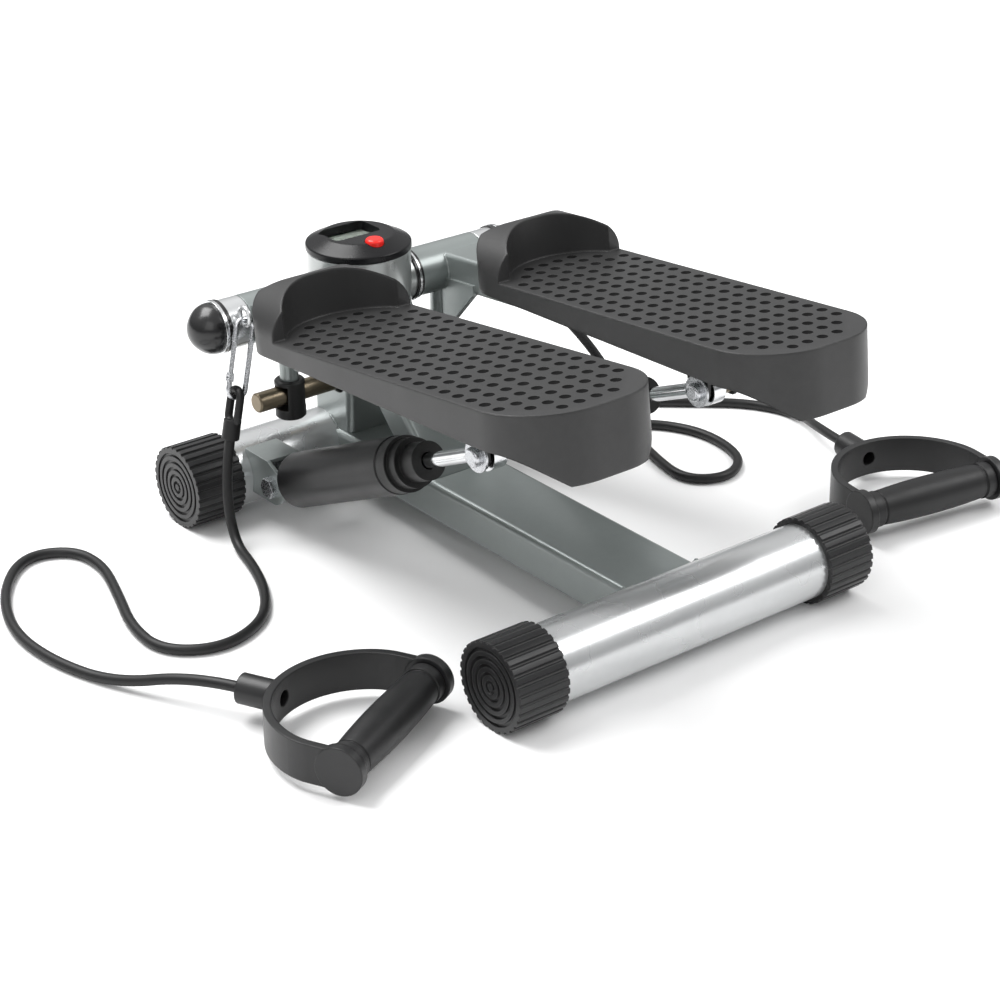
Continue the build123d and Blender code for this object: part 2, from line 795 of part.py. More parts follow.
# ---------------------------------------------------- clips, cords, handles


def clip_plane(side, along):
    """Frame of a hanging clip: local x across it, local y against its fall from the ring."""
    run = Vector(*clip_run[side]).normalized()
    level = Vector(1, 0, 0)
    width = (level - run * level.dot(run)).normalized()
    top = Vector(*clip_top[side])
    return Plane(origin=top + run * along, x_dir=width, z_dir=width.cross(run * -1))


def rod_along(points, radius, corner, plane=None):
    """A bent round bar: straight runs between the points with rounded corners."""
    frame = plane if plane is not None else Plane.XY
    with BuildPart() as bar:
        with BuildLine(frame) as path:
            FilletPolyline(*points, radius=corner)
        with BuildSketch(Plane(origin=path.line @ 0, z_dir=path.line % 0)):
            Circle(radius)
        sweep(path=path.line)
    return bar


gate_top = 15.0
gate_bottom = 40.0
gate_hinge = 37.9
for side in ("left", "right"):
    outward = sign[side]
    wire = rod_along(
        [
            (outward * clip_width, -gate_top),
            (outward * clip_width, 0),
            (-outward * clip_width, 0),
            (-outward * clip_width, -clip_length),
            (outward * clip_width, -clip_length),
            (outward * clip_width, -gate_bottom),
        ],
        1.9,
        5.5,
        clip_plane(side, 0),
    )
    gate_frame = clip_plane(side, gate_hinge)
    hinge_face = Plane(
        origin=gate_frame.from_local_coords((outward * clip_width, 0, 0)),
        x_dir=gate_frame.x_dir,
        z_dir=gate_frame.z_dir,
    )
    with BuildPart() as clip:
        add(wire.part)
        for face in (-1, 1):
            with BuildSketch(hinge_face.offset(face * 1.3)):
                Circle(1.9)
                with Locations((0, -2.1)):
                    Rectangle(3.8, 4.2)
            extrude(amount=face * 0.8)
        with BuildSketch(hinge_face.offset(-2.1)):
            Circle(0.7)
        extrude(amount=4.2)
    save(clip, f"{side}_carabiner")

    with BuildPart() as gate:
        with BuildSketch(Plane(origin=hinge_face.origin, z_dir=hinge_face.y_dir)):
            Circle(1.7)
        extrude(amount=gate_hinge - gate_top - 0.2)
        with BuildSketch(hinge_face.offset(-1.2)):
            Circle(1.9)
        extrude(amount=2.4)
        for face in (-1, 1):
            with BuildSketch(hinge_face.offset(face * 1.2)):
                Rectangle(8, 4.8)
            extrude(amount=face * 3, mode=Mode.SUBTRACT)
        with BuildSketch(hinge_face.offset(-2)):
            Circle(0.7 + running_gap)
        extrude(amount=4, mode=Mode.SUBTRACT)
    save(gate, f"{side}_carabiner_gate")

    loop_frame = clip_plane(side, 0)
    loop_plane = Plane(origin=loop_frame.origin, x_dir=loop_frame.z_dir, z_dir=loop_frame.x_dir)
    fall = -1 if loop_plane.y_dir.Z > 0 else 1
    with BuildPart() as loop:
        with BuildLine(loop_plane) as ring_path:
            loop_top = (clip_length - 5.3) * fall
            loop_foot = (clip_length + 17.0) * fall
            FilletPolyline(
                (5.6, loop_top),
                (5.6, loop_foot),
                (-5.6, loop_foot),
                (-5.6, loop_top),
                radius=5.2,
                close=True,
            )
        with BuildSketch(Plane(origin=ring_path.line @ 0, z_dir=ring_path.line % 0)):
            Circle(2.8)
        sweep(path=ring_path.line)
        crimp_frame = clip_plane(side, crimp_end)
        with BuildSketch(Plane(origin=crimp_frame.origin, z_dir=crimp_frame.y_dir)):
            Circle(6)
        extrude(amount=14)
        with BuildSketch(Plane(origin=crimp_frame.origin, z_dir=crimp_frame.y_dir)):
            Circle(6)
            Circle(5.2, mode=Mode.SUBTRACT)
        extrude(amount=0.8, mode=Mode.SUBTRACT)
    save(loop, f"{side}_cord_loop")


def clip_point(side, along):
    return tuple(clip_plane(side, along).origin)


def handle_frame(side):
    """Handle frame at grip height: local x along the grip, local y from grip to socket."""
    turn = math.radians(grip_turn[side])
    along = Vector(math.cos(turn), math.sin(turn), 0)
    return Plane(origin=(*grip_centre[side], handle_z), x_dir=along, z_dir=(0, 0, 1))


def socket_point(side, extra=0.0):
    return tuple(handle_frame(side).from_local_coords((0, socket_reach + extra, 0)))


cord_route = {
    "left": [
        clip_point("left", crimp_end),
        clip_point("left", crimp_end + 28),
        (-136.5, 122.0, cord_radius),
        (-147.0, 79.0, cord_radius),
        (-162.0, 43.0, cord_radius),
        (-184.0, 15.0, cord_radius),
        (-221.0, 3.0, cord_radius),
        (-252.0, 24.0, cord_radius),
        (-251.0, 62.0, cord_radius),
        (-236.0, 104.0, cord_radius),
        (-222.0, 148.0, cord_radius),
        (-227.0, 180.0, cord_radius),
        (-258.0, 192.0, cord_radius),
        (-291.0, 157.0, cord_radius),
        (-312.0, 106.0, cord_radius),
        (-311.0, 56.0, cord_radius),
        (-295.0, 8.0, cord_radius),
        socket_point("left", 34),
        socket_point("left"),
    ],
    "right": [
        clip_point("right", crimp_end),
        clip_point("right", crimp_end + 28),
        (192.0, 114.0, 38.0),
        (188.0, 84.0, cord_radius),
        (173.0, 44.0, cord_radius),
        (164.0, 2.0, cord_radius),
        (192.0, -15.5, cord_radius),
        (222.0, 3.0, cord_radius),
        (231.0, 48.0, cord_radius),
        (217.0, 84.0, cord_radius),
        (186.0, 108.0, cord_radius),
        (163.0, 138.0, cord_radius),
        (176.0, 169.0, cord_radius),
        (209.0, 169.0, cord_radius),
        (226.0, 130.0, cord_radius),
        (262.0, 99.0, cord_radius),
        (295.0, 70.0, cord_radius),
        (309.0, 30.0, cord_radius),
        socket_point("right", 36),
        socket_point("right"),
    ],
}


def corner_radii(points):
    """Largest comfortable bend at each inner point: it uses 45 % of the shorter run."""
    radii = []
    for before, corner, after in zip(points, points[1:], points[2:]):
        run_in = Vector(*corner) - Vector(*before)
        run_out = Vector(*after) - Vector(*corner)
        half_turn = math.radians(run_in.get_angle(run_out)) / 2
        radii.append(0.45 * min(run_in.length, run_out.length) / math.tan(half_turn))
    return radii


for side in ("left", "right"):
    route = cord_route[side]
    radii = corner_radii(route)
    with BuildPart() as cord:
        with BuildLine() as cord_path:
            FilletPolyline(*route, radius=radii)
        with BuildSketch(Plane(origin=cord_path.line @ 0, z_dir=cord_path.line % 0)):
            Circle(cord_radius)
        sweep(path=cord_path.line)
    section = math.pi * cord_radius**2
    length = cord_path.wires()[0].length
    print(f"{side} cord: length {length:.0f}, volume {cord.part.volume:.0f} against {section * length:.0f}")
    print("  bend radii", [round(radius, 1) for radius in radii])
    save(cord, f"{side}_cord")

    frame = handle_frame(side)
    with BuildPart() as bow:
        for end in (-1, 1):
            disc_face = Plane(
                origin=frame.from_local_coords((end * grip_half, 0, 0)),
                x_dir=(0, 0, 1),
                z_dir=frame.x_dir * end,
            )
            with BuildSketch(disc_face):
                Circle(disc_radius)
            extrude(amount=disc_width)
        with BuildSketch(frame):
            with BuildLine() as bow_path:
                for end in (-1, 1):
                    Line((end * bow_half, 8), (end * bow_half, 20))
                    ThreePointArc((end * bow_half, 20), (end * 54.4, 26.4), (end * 52.8, 32.7))
                ThreePointArc((-52.8, 32.7), (0, 70), (52.8, 32.7))
            trace(bow_path.edges(), line_width=5)
        extrude(amount=12.5, both=True)
        socket_end = Plane(origin=socket_point(side), x_dir=(0, 0, 1), z_dir=frame.y_dir * -1)
        with BuildSketch(socket_end):
            Circle(9.5)
        extrude(amount=socket_length)
        with BuildSketch(socket_end.offset(socket_length + 8)):
            Circle(5)
        extrude(amount=-18, mode=Mode.SUBTRACT)
        spindle = Plane(
            origin=frame.from_local_coords((-grip_half, 0, 0)),
            x_dir=(0, 0, 1),
            z_dir=frame.x_dir,
        )
        with BuildSketch(spindle):
            Circle(4)
        extrude(amount=2 * grip_half)
    save(bow, f"{side}_handle_bow")

    with BuildPart() as grip:
        with BuildSketch(frame):
            with BuildLine():
                Polyline((-51, 4.1), (-51, 12.5), (-44, 12.5), (-44, 11.5), (-42, 11.5), (-42, 12))
                ThreePointArc((-42, 12), (0, 13.5), (42, 12))
                Polyline((42, 12), (42, 11.5), (44, 11.5), (44, 12.5), (51, 12.5), (51, 4.1), (-51, 4.1))
            make_face()
        revolve(axis=Axis(frame.origin, frame.x_dir))
    save(grip, f"{side}_handle_grip")
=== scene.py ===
"""Looks, cords, floor, lights and camera for the mini stepper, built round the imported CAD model."""

import json
import math

import bmesh
import bpy
from mathutils import Matrix, Vector


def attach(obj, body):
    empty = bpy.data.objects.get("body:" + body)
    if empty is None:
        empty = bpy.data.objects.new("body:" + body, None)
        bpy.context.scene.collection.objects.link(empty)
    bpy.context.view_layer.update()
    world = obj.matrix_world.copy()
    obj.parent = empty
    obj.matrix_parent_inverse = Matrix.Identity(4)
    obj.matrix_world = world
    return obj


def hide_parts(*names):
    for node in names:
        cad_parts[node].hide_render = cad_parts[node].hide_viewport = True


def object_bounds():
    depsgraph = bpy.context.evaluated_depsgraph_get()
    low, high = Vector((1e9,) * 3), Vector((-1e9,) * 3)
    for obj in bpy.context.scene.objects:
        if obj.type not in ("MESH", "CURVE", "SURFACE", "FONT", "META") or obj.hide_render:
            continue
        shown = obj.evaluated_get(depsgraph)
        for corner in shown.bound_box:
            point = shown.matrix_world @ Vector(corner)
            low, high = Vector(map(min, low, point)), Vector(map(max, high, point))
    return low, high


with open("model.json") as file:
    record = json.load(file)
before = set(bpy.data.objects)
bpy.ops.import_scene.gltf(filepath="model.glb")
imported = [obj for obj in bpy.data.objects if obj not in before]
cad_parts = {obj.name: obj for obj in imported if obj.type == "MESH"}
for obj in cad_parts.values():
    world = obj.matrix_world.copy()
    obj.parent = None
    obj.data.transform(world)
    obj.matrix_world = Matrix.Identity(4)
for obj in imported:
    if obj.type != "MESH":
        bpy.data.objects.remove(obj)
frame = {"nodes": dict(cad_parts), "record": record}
cad_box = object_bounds()
nodes = frame["nodes"]
record = frame["record"]
scene = bpy.context.scene
SIDES = ("left", "right")


def linked(name, data):
    """A new object that shows this data, linked to the scene."""
    made = bpy.data.objects.new(name, data)
    scene.collection.objects.link(made)
    return made


# ------------------------------------------------------------------ camera

CAMERA_AZIMUTH = math.radians(-39.14)
CAMERA_ELEVATION = math.radians(23.55)
CAMERA_DISTANCE = 1.7404
CAMERA_TARGET = Vector((0.0901, 0.0742, 0.0668))
CAMERA_LENS = 89.06
CAMERA_SHIFT = (-0.0392, -0.1071)


def photo_camera():
    """The scene's camera, at the photograph's viewing angle."""
    outward = Vector(
        (
            math.sin(CAMERA_AZIMUTH) * math.cos(CAMERA_ELEVATION),
            -math.cos(CAMERA_AZIMUTH) * math.cos(CAMERA_ELEVATION),
            math.sin(CAMERA_ELEVATION),
        )
    )
    data = bpy.data.cameras.new("camera")
    data.sensor_width = 36
    data.lens = CAMERA_LENS
    data.shift_x, data.shift_y = CAMERA_SHIFT
    data.clip_start = 0.05
    camera = linked("camera", data)
    camera.location = CAMERA_TARGET + outward * CAMERA_DISTANCE
    camera.rotation_euler = (-outward).to_track_quat("-Z", "Y").to_euler()
    scene.camera = camera


photo_camera()

# ------------------------------------------------------------------- cords

CORD_DIAMETER = 0.007
ROUTES = {
    "left": [
        (-0.1292, 0.1317, 0.0735),
        (-0.1367, 0.1289, 0.0467),
        (-0.1365, 0.1220, 0.0035),
        (-0.1470, 0.0790, 0.0035),
        (-0.1620, 0.0430, 0.0035),
        (-0.1840, 0.0150, 0.0035),
        (-0.2210, 0.0030, 0.0035),
        (-0.2520, 0.0240, 0.0035),
        (-0.2510, 0.0620, 0.0035),
        (-0.2360, 0.1040, 0.0035),
        (-0.2220, 0.1480, 0.0035),
        (-0.2270, 0.1800, 0.0035),
        (-0.2580, 0.1920, 0.0035),
        (-0.2910, 0.1570, 0.0035),
        (-0.3120, 0.1060, 0.0035),
        (-0.3110, 0.0560, 0.0035),
        (-0.2950, 0.0080, 0.0035),
        (-0.2672, -0.0378, 0.0190),
        (-0.2520, -0.0682, 0.0190),
    ],
    "right": [
        (0.1596, 0.1329, 0.0900),
        (0.1781, 0.1306, 0.0691),
        (0.1920, 0.1140, 0.0380),
        (0.1880, 0.0840, 0.0035),
        (0.1730, 0.0440, 0.0035),
        (0.1640, 0.0020, 0.0035),
        (0.1920, -0.0155, 0.0035),
        (0.2220, 0.0030, 0.0035),
        (0.2310, 0.0480, 0.0035),
        (0.2170, 0.0840, 0.0035),
        (0.1860, 0.1080, 0.0035),
        (0.1630, 0.1380, 0.0035),
        (0.1760, 0.1690, 0.0035),
        (0.2090, 0.1690, 0.0035),
        (0.2260, 0.1300, 0.0035),
        (0.2620, 0.0990, 0.0035),
        (0.2950, 0.0700, 0.0035),
        (0.3090, 0.0300, 0.0035),
        (0.2777, -0.0148, 0.0190),
        (0.2717, -0.0503, 0.0190),
    ],
}


def nurbs_cord(name, points, diameter):
    """A smooth round cord that follows its control points from end to end.

    The points carry its radius, because a curve's bounds grow by theirs.
    """
    curve = bpy.data.curves.new(name, "CURVE")
    curve.dimensions = "3D"
    curve.bevel_depth = 1
    curve.bevel_resolution = 6
    curve.resolution_u = 16
    curve.use_fill_caps = True
    spline = curve.splines.new("NURBS")
    spline.points.add(len(points) - 1)
    for control, place in zip(spline.points, points):
        control.co = (*place, 1)
        control.radius = diameter / 2
    spline.order_u = 3
    spline.use_endpoint_u = True
    return linked(name, curve)


cords = {}
for side in SIDES:
    cord = nurbs_cord(f"{side}_resistance_cord", ROUTES[side], CORD_DIAMETER)
    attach(cord, "base")
    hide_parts(f"{side}_cord")
    cords[side] = cord

# --------------------------------------------------------------- materials


class Surface:
    """A material being built: one Principled shader whose inputs noise varies.

    Each texture is read in the object's own space, and edges are shaded as if rounded.
    """

    # A noise texture's values seldom leave this span.
    NOISE_LOW, NOISE_HIGH = 0.3, 0.7
    # Pointiness at which an edge starts to count as worn, and how fast the wear then sets in.
    WEAR_START, WEAR_GAIN = 0.515, 14.0

    def __init__(self, name, base, roughness, metallic=0.0, coat=0.0, edge_radius=0.0006):
        self.material = bpy.data.materials.new(name)
        self.material.use_nodes = True
        self.tree = self.material.node_tree
        self.shader = self.tree.nodes["Principled BSDF"]
        self.base = base
        self.set("Base Color", (*base, 1))
        self.set("Roughness", roughness)
        self.set("Metallic", metallic)
        if coat:
            self.set("Coat Weight", coat)
            self.set("Coat Roughness", 0.12)
        bevel = self.node("ShaderNodeBevel", samples=6)
        bevel.inputs["Radius"].default_value = edge_radius
        self.normal = bevel.outputs["Normal"]
        self.link(self.normal, self.shader.inputs["Normal"])
        self.position = self.node("ShaderNodeTexCoord").outputs["Object"]

    def node(self, kind, **settings):
        made = self.tree.nodes.new(kind)
        for key, value in settings.items():
            setattr(made, key, value)
        return made

    def set(self, socket, value):
        self.shader.inputs[socket].default_value = value

    def link(self, start, end):
        self.tree.links.new(start, end)

    def math(self, operation, first, second=None, clamp=False):
        """A maths node's result; each operand is a number or another node's output."""
        made = self.node("ShaderNodeMath", operation=operation, use_clamp=clamp)
        for socket, value in zip(made.inputs, (first, second)):
            if isinstance(value, (int, float)):
                socket.default_value = value
            elif value is not None:
                self.link(value, socket)
        return made.outputs[0]

    def noise(self, scale, detail=3.0, roughness=0.55, stretch=None):
        """Noise of this scale, drawn out along an axis where stretch is small."""
        source = self.position
        if stretch:
            mapping = self.node("ShaderNodeMapping")
            mapping.inputs["Scale"].default_value = stretch
            self.link(source, mapping.inputs["Vector"])
            source = mapping.outputs["Vector"]
        made = self.node("ShaderNodeTexNoise")
        made.inputs["Scale"].default_value = scale
        made.inputs["Detail"].default_value = detail
        made.inputs["Roughness"].default_value = roughness
        self.link(source, made.inputs["Vector"])
        return made.outputs["Fac"]

    def vary_colour(self, factor, low, high):
        """Colour runs from low to high, both given as multiples of the base colour."""
        made = self.node("ShaderNodeValToRGB")
        stops = zip(made.color_ramp.elements, (self.NOISE_LOW, self.NOISE_HIGH), (low, high))
        for stop, position, multiple in stops:
            stop.position = position
            stop.color = (*[min(1, channel * multiple) for channel in self.base], 1)
        self.link(factor, made.inputs["Fac"])
        self.link(made.outputs["Color"], self.shader.inputs["Base Color"])
        return made.outputs["Color"]

    def vary_roughness(self, factor, low, high):
        made = self.node("ShaderNodeMapRange")
        made.inputs["From Min"].default_value = self.NOISE_LOW
        made.inputs["From Max"].default_value = self.NOISE_HIGH
        made.inputs["To Min"].default_value = low
        made.inputs["To Max"].default_value = high
        self.link(factor, made.inputs["Value"])
        self.link(made.outputs["Result"], self.shader.inputs["Roughness"])

    def bump(self, height, strength, distance):
        made = self.node("ShaderNodeBump")
        made.inputs["Strength"].default_value = strength
        made.inputs["Distance"].default_value = distance
        self.link(height, made.inputs["Height"])
        self.link(self.normal, made.inputs["Normal"])
        self.normal = made.outputs["Normal"]
        self.link(self.normal, self.shader.inputs["Normal"])

    def edge_wear(self, colour, worn, amount):
        """Edges that stick out take the worn colour, a little broken up."""
        pointiness = self.node("ShaderNodeNewGeometry").outputs["Pointiness"]
        above = self.math("SUBTRACT", pointiness, self.WEAR_START)
        edge = self.math("MULTIPLY", above, self.WEAR_GAIN, clamp=True)
        broken = self.math("MULTIPLY", edge, self.noise(180, detail=4))
        mix = self.node("ShaderNodeMix", data_type="RGBA")
        self.link(self.math("MULTIPLY", broken, amount), mix.inputs["Factor"])
        self.link(colour, mix.inputs["A"])
        mix.inputs["B"].default_value = (*worn, 1)
        self.link(mix.outputs["Result"], self.shader.inputs["Base Color"])


def painted(name, base, roughness, metallic):
    """Glossy metallic paint with a fine orange peel."""
    surface = Surface(name, base, roughness, metallic, coat=0.3, edge_radius=0.001)
    colour = surface.vary_colour(surface.noise(14), low=0.97, high=1.03)
    surface.vary_roughness(surface.noise(30, detail=2), roughness - 0.01, roughness + 0.025)
    surface.bump(surface.noise(900, detail=2), strength=0.03, distance=0.0001)
    surface.edge_wear(colour, [min(1, channel * 1.25) for channel in base], amount=0.3)
    return surface.material


def plastic(name, base, roughness, grain=0.16, coat=0.0, edge_radius=0.0008, specular=0.4):
    """Moulded plastic with a fine grain."""
    surface = Surface(name, base, roughness, coat=coat, edge_radius=edge_radius)
    surface.set("Specular IOR Level", specular)
    colour = surface.vary_colour(surface.noise(22), low=0.93, high=1.07)
    surface.vary_roughness(surface.noise(40), roughness - 0.03, roughness + 0.04)
    surface.bump(surface.noise(1900, roughness=0.7), strength=grain, distance=0.0002)
    surface.edge_wear(colour, [min(1, channel * 1.6 + 0.006) for channel in base], amount=0.4)
    return surface.material


def rubber(name, base):
    """Dull rubber, uneven in colour."""
    roughness = 0.45
    surface = Surface(name, base, roughness, edge_radius=0.0012)
    surface.set("Specular IOR Level", 0.35)
    colour = surface.vary_colour(surface.noise(30, detail=4), low=0.88, high=1.15)
    surface.vary_roughness(surface.noise(60), roughness - 0.05, roughness + 0.05)
    surface.bump(surface.noise(1300, detail=4, roughness=0.7), strength=0.15, distance=0.0002)
    surface.edge_wear(colour, [channel * 1.6 + 0.008 for channel in base], amount=0.4)
    return surface.material


def steel(name, base, roughness, stretch=(1, 1, 1), brushed=0.12):
    """Bare metal with brush lines, which run along the axis whose stretch is smallest."""
    surface = Surface(name, base, roughness, metallic=1.0)
    surface.vary_colour(surface.noise(35, detail=4), low=0.88, high=1.05)
    lines = surface.noise(900, roughness=0.6, stretch=stretch)
    surface.vary_roughness(lines, roughness - 0.07, roughness + 0.12)
    surface.bump(lines, strength=brushed, distance=0.0001)
    return surface.material


def lens_material():
    """Clear plastic of the display window."""
    surface = Surface("lens", (0.9, 0.93, 0.9), 0.05)
    surface.set("Transmission Weight", 1.0)
    surface.set("IOR", 1.1)
    surface.set("Alpha", 0.22)
    surface.bump(surface.noise(300, detail=2), strength=0.02, distance=0.0001)
    return surface.material


BAR_PITCH = 0.0052
BAR_WIDTH = 0.0008
# Added to x before the bars repeat: it keeps x positive and sets where the first bar falls.
BAR_PHASE = 1.0
BARS_Y = (0.1675, 0.1755)
BARS_MIDDLE = -0.003
BARS_HALF_SPAN = 0.012
BAR_DARKNESS = 0.8


def display_material():
    """Grey-green display with a generic row of upright bars for digits."""
    surface = Surface("lcd", (0.52, 0.58, 0.52), 0.4)
    split = surface.node("ShaderNodeSeparateXYZ")
    surface.link(surface.position, split.inputs["Vector"])
    x, y = split.outputs["X"], split.outputs["Y"]
    into_bar = surface.math("MODULO", surface.math("ADD", x, BAR_PHASE), BAR_PITCH)
    from_middle = surface.math("ABSOLUTE", surface.math("SUBTRACT", x, BARS_MIDDLE))
    ink = BAR_DARKNESS
    for inside in (
        surface.math("LESS_THAN", into_bar, BAR_WIDTH),
        surface.math("GREATER_THAN", y, BARS_Y[0]),
        surface.math("LESS_THAN", y, BARS_Y[1]),
        surface.math("LESS_THAN", from_middle, BARS_HALF_SPAN),
    ):
        ink = surface.math("MULTIPLY", inside, ink)
    shade = surface.math("SUBTRACT", surface.noise(60), ink, clamp=True)
    surface.vary_colour(shade, low=0.5, high=1.1)
    surface.vary_roughness(surface.noise(200, detail=2), low=0.3, high=0.4)
    return surface.material


MATERIALS = {
    "silver_tube": painted("silver_tube", (0.58, 0.59, 0.595), 0.27, metallic=0.75),
    "grey_frame": painted("grey_frame", (0.25, 0.275, 0.27), 0.34, metallic=0.6),
    "housing_paint": painted("housing_paint", (0.37, 0.385, 0.38), 0.28, metallic=0.7),
    "axle_steel": steel("axle_steel", (0.50, 0.50, 0.51), 0.3, stretch=(1, 12, 12)),
    "zinc": steel("zinc", (0.60, 0.61, 0.63), 0.24, brushed=0.02),
    "brown_steel": steel("brown_steel", (0.23, 0.19, 0.135), 0.34, (1, 9, 9), brushed=0.25),
    "rod_chrome": steel("rod_chrome", (0.74, 0.75, 0.76), 0.1, (1, 6, 6), brushed=0.03),
    "cap_black": plastic("cap_black", (0.012, 0.012, 0.0125), 0.36),
    "dome_black": plastic("dome_black", (0.010, 0.010, 0.0105), 0.25, grain=0.06, coat=0.2),
    "ring_silver": steel("ring_silver", (0.75, 0.76, 0.77), 0.2),
    "console_black": plastic("console_black", (0.006, 0.006, 0.0068), 0.28, grain=0.03, specular=0.24),
    "board": plastic("board", (0.02, 0.12, 0.05), 0.4),
    "cell": steel("cell", (0.7, 0.7, 0.7), 0.25),
    "button_red": plastic("button_red", (0.92, 0.022, 0.016), 0.3, grain=0.05),
    "nylon": plastic("nylon", (0.75, 0.74, 0.7), 0.45),
    "pedal_grey": plastic("pedal_grey", (0.026, 0.026, 0.0262), 0.40, grain=0.3, edge_radius=0.0022),
    "cylinder_black": plastic("cylinder_black", (0.006, 0.006, 0.0063), 0.36, grain=0.06, specular=0.3),
    "boot_black": rubber("boot_black", (0.008, 0.008, 0.008)),
    "link_black": rubber("link_black", (0.010, 0.010, 0.010)),
    "cord_black": rubber("cord_black", (0.008, 0.008, 0.0083)),
    "handle_black": plastic("handle_black", (0.0125, 0.0125, 0.013), 0.38, edge_radius=0.0014),
    "grip_black": rubber("grip_black", (0.0115, 0.0115, 0.012)),
    # Painted shade: the dimples get a far darker, duller black than the tread, which paints the shade in
    # their hollows.
    "dimple_painted_shade": plastic(
        "pedal_grey_dimple_painted_shade",
        (0.0045, 0.0045, 0.0046),
        0.75,
        grain=0.1,
        edge_radius=0.0002,
        specular=0.08,
    ),
    "lens": lens_material(),
    "lcd": display_material(),
}

slot_of = {part["node"]: part["material_slot"] for part in record["subparts"]}
for name, obj in nodes.items():
    obj.data.materials.clear()
    obj.data.materials.append(MATERIALS[slot_of[name]])
for cord in cords.values():
    cord.data.materials.append(MATERIALS["cord_black"])

# --------------------------------------------------------- places and meshes

joint_place = {joint["name"]: joint.get("pos_m") for joint in record["behaviour"]["joints"]}
AXLE = Vector(joint_place["left_arm_pivot"])
ARM_PITCH = {"left": 7.1, "right": 5.5}
ARM_X = {"left": -0.0895, "right": 0.0895}


def arm_matrix(side):
    """From a pedal arm's own frame (across, towards the toe, up) to the row frame."""
    angle = math.radians(ARM_PITCH[side])
    across = Vector((1, 0, 0))
    up = Vector((0, math.sin(angle), math.cos(angle)))
    toeward = up.cross(across)
    turn = Matrix((across, toeward, up)).transposed().to_4x4()
    return Matrix.Translation(AXLE + Vector((ARM_X[side], 0, 0))) @ turn


def new_object(name, build):
    """An object whose mesh is what build(bmesh) leaves."""
    mesh = bpy.data.meshes.new(name)
    builder = bmesh.new()
    build(builder)
    builder.to_mesh(mesh)
    builder.free()
    return linked(name, mesh)


def ring_angles(corners):
    return [math.tau * corner / corners for corner in range(corners)]


def smooth(mesh):
    for polygon in mesh.polygons:
        polygon.use_smooth = True


# ------------------------------------------------------------------ pedals

TREAD = 0.016
DOT_ROWS = 8
DOT_COLUMNS = 22
DOT_PITCH = 0.0127
ROW_SQUEEZE = 0.995
DOT_RADIUS = 0.0036
DOT_DEPTH = 0.0013
HEEL_DOT = 0.3558
# Dimples left out where a row would run past a rounded heel corner.
HEEL_GAPS = {0: 2, 1: 1, 6: 1, 7: 2}
CUP_MOUTH = 0.0875
CUP_MOUTH_RADIUS = 0.0518
CUP_CLEARANCE = 0.003

CUTTER_RINGS = 4
CUTTER_CORNERS = 16
CUTTER_OVERSIZE = 1.04
CUTTER_RISE = 0.002
SPHERE_RADIUS = (DOT_RADIUS**2 + DOT_DEPTH**2) / (2 * DOT_DEPTH)
SHARP_ANGLE = math.radians(28)
MERGE_DISTANCE = 1e-6


def dot_places():
    """Centres of the tread's round dimples, as (across, back from the axle)."""
    places = []
    for row in range(DOT_ROWS):
        across = (row - (DOT_ROWS - 1) / 2) * DOT_PITCH * ROW_SQUEEZE
        mouth = CUP_MOUTH + CUP_MOUTH_RADIUS - math.sqrt(CUP_MOUTH_RADIUS**2 - across**2)
        for column in range(HEEL_GAPS.get(row, 0), DOT_COLUMNS):
            back = HEEL_DOT - column * DOT_PITCH
            if back - DOT_RADIUS > mouth + CUP_CLEARANCE:
                places.append((across, back))
    return places


def add_cutter(builder, place, across, back):
    """A closed cutter for one dimple: a ball's underside below the tread, a low cone above."""
    centre_up = TREAD - DOT_DEPTH + SPHERE_RADIUS
    rings = []
    for step in range(1, CUTTER_RINGS + 1):
        radius = DOT_RADIUS * CUTTER_OVERSIZE * step / CUTTER_RINGS
        height = centre_up - math.sqrt(SPHERE_RADIUS**2 - radius**2)
        ring = []
        for angle in ring_angles(CUTTER_CORNERS):
            local = (across + radius * math.cos(angle), -back + radius * math.sin(angle), height)
            ring.append(builder.verts.new(place @ Vector(local)))
        rings.append(ring)
    bottom = builder.verts.new(place @ Vector((across, -back, TREAD - DOT_DEPTH)))
    top = builder.verts.new(place @ Vector((across, -back, TREAD + CUTTER_RISE)))
    for corner in range(CUTTER_CORNERS):
        after = (corner + 1) % CUTTER_CORNERS
        builder.faces.new((bottom, rings[0][after], rings[0][corner]))
        for inner, outer in zip(rings, rings[1:]):
            builder.faces.new((inner[corner], inner[after], outer[after], outer[corner]))
        builder.faces.new((rings[-1][corner], rings[-1][after], top))


def dimple_cutters(side):
    """All the cutters of one tread, as one object in a darker black that paints shade into the dimples.
    """
    place = arm_matrix(side)

    def build(builder):
        for across, back in dot_places():
            add_cutter(builder, place, across, back)
        bmesh.ops.recalc_face_normals(builder, faces=builder.faces)

    cutters = new_object(f"{side}_dimple_cutters", build)
    # The darker black that paints shade into each dimple's hollow.
    cutters.data.materials.append(MATERIALS["dimple_painted_shade"])
    return cutters


